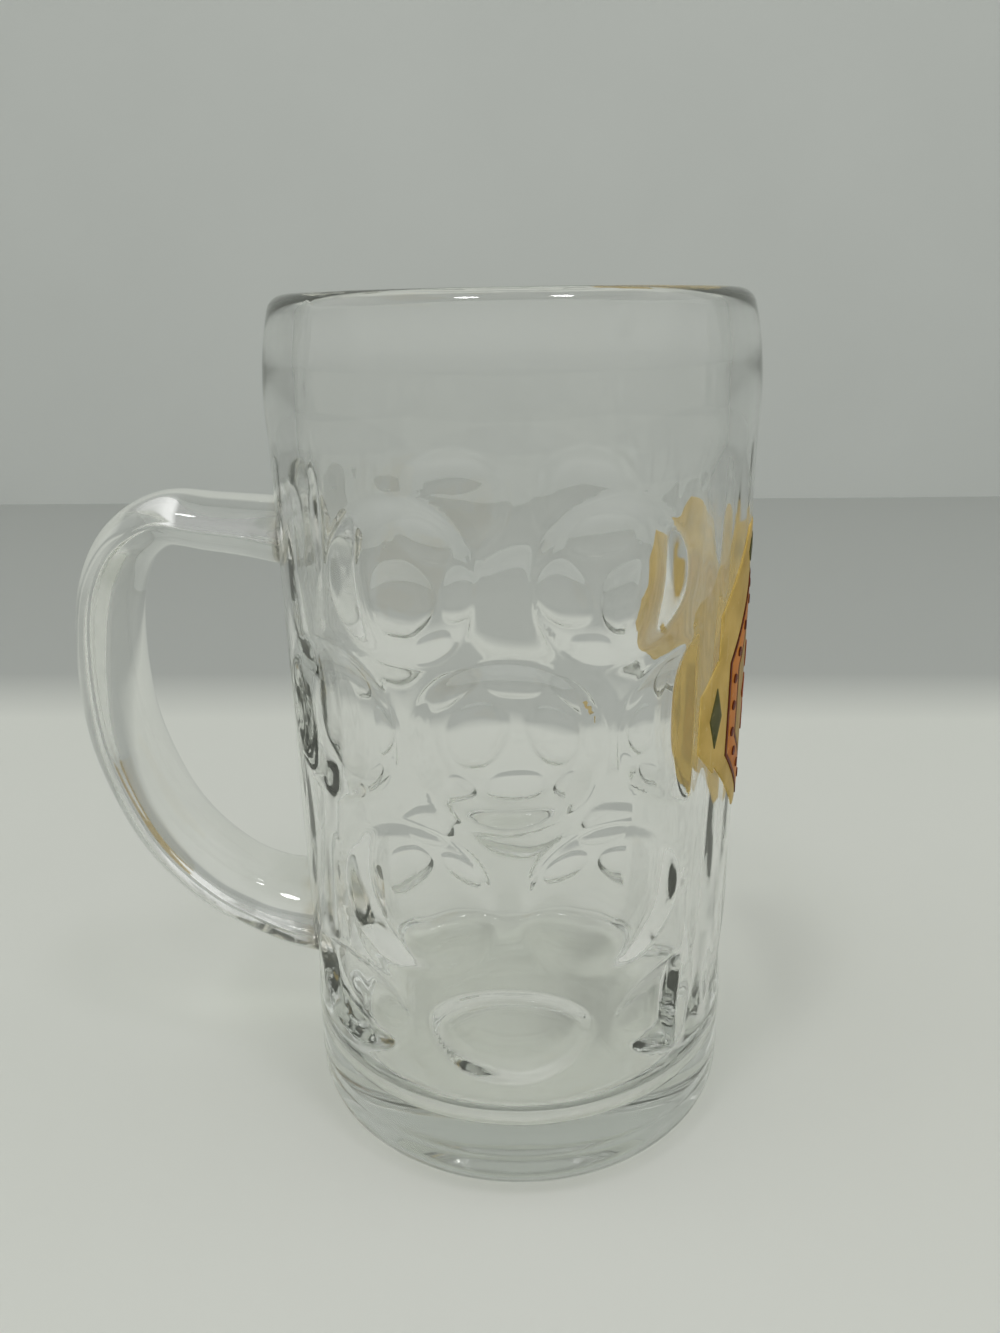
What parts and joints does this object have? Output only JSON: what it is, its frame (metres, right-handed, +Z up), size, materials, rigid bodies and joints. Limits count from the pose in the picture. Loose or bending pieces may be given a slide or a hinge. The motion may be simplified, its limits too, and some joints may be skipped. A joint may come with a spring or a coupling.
{
  "type": "dimpled beer mug",
  "caption": "Thick clear glass beer mug with four staggered rows of round hollows, a pressed-on glass handle and a fired enamel badge.",
  "frame": {"origin": "centre of the foot ring, on the table plane", "axes": "+Z up along the mug's axis, -X towards the handle, +X towards the badge, -Y the side in the picture"},
  "size_m": [0.1634, 0.11, 0.2],
  "materials": {
    "body_glass": "polished",
    "handle_glass": "fire-polished",
    "enamel_ochre": "satin",
    "enamel_orange": "satin",
    "enamel_dark": "satin",
    "enamel_pale": "satin",
    "enamel_red": "satin",
    "enamel_olive": "satin"
  },
  "bodies": {
    "root": {"mug_body": "body_glass", "handle": "handle_glass", "badge_ground": "enamel_ochre", "badge_frame": "enamel_orange", "badge_frame_lines": "enamel_dark", "badge_frame_dots": "enamel_dark", "badge_field": "enamel_pale", "badge_petals": "enamel_red", "badge_heart": "enamel_dark", "badge_lozenges": "enamel_olive", "badge_crest": "enamel_olive"}
  },
  "joints": []
}
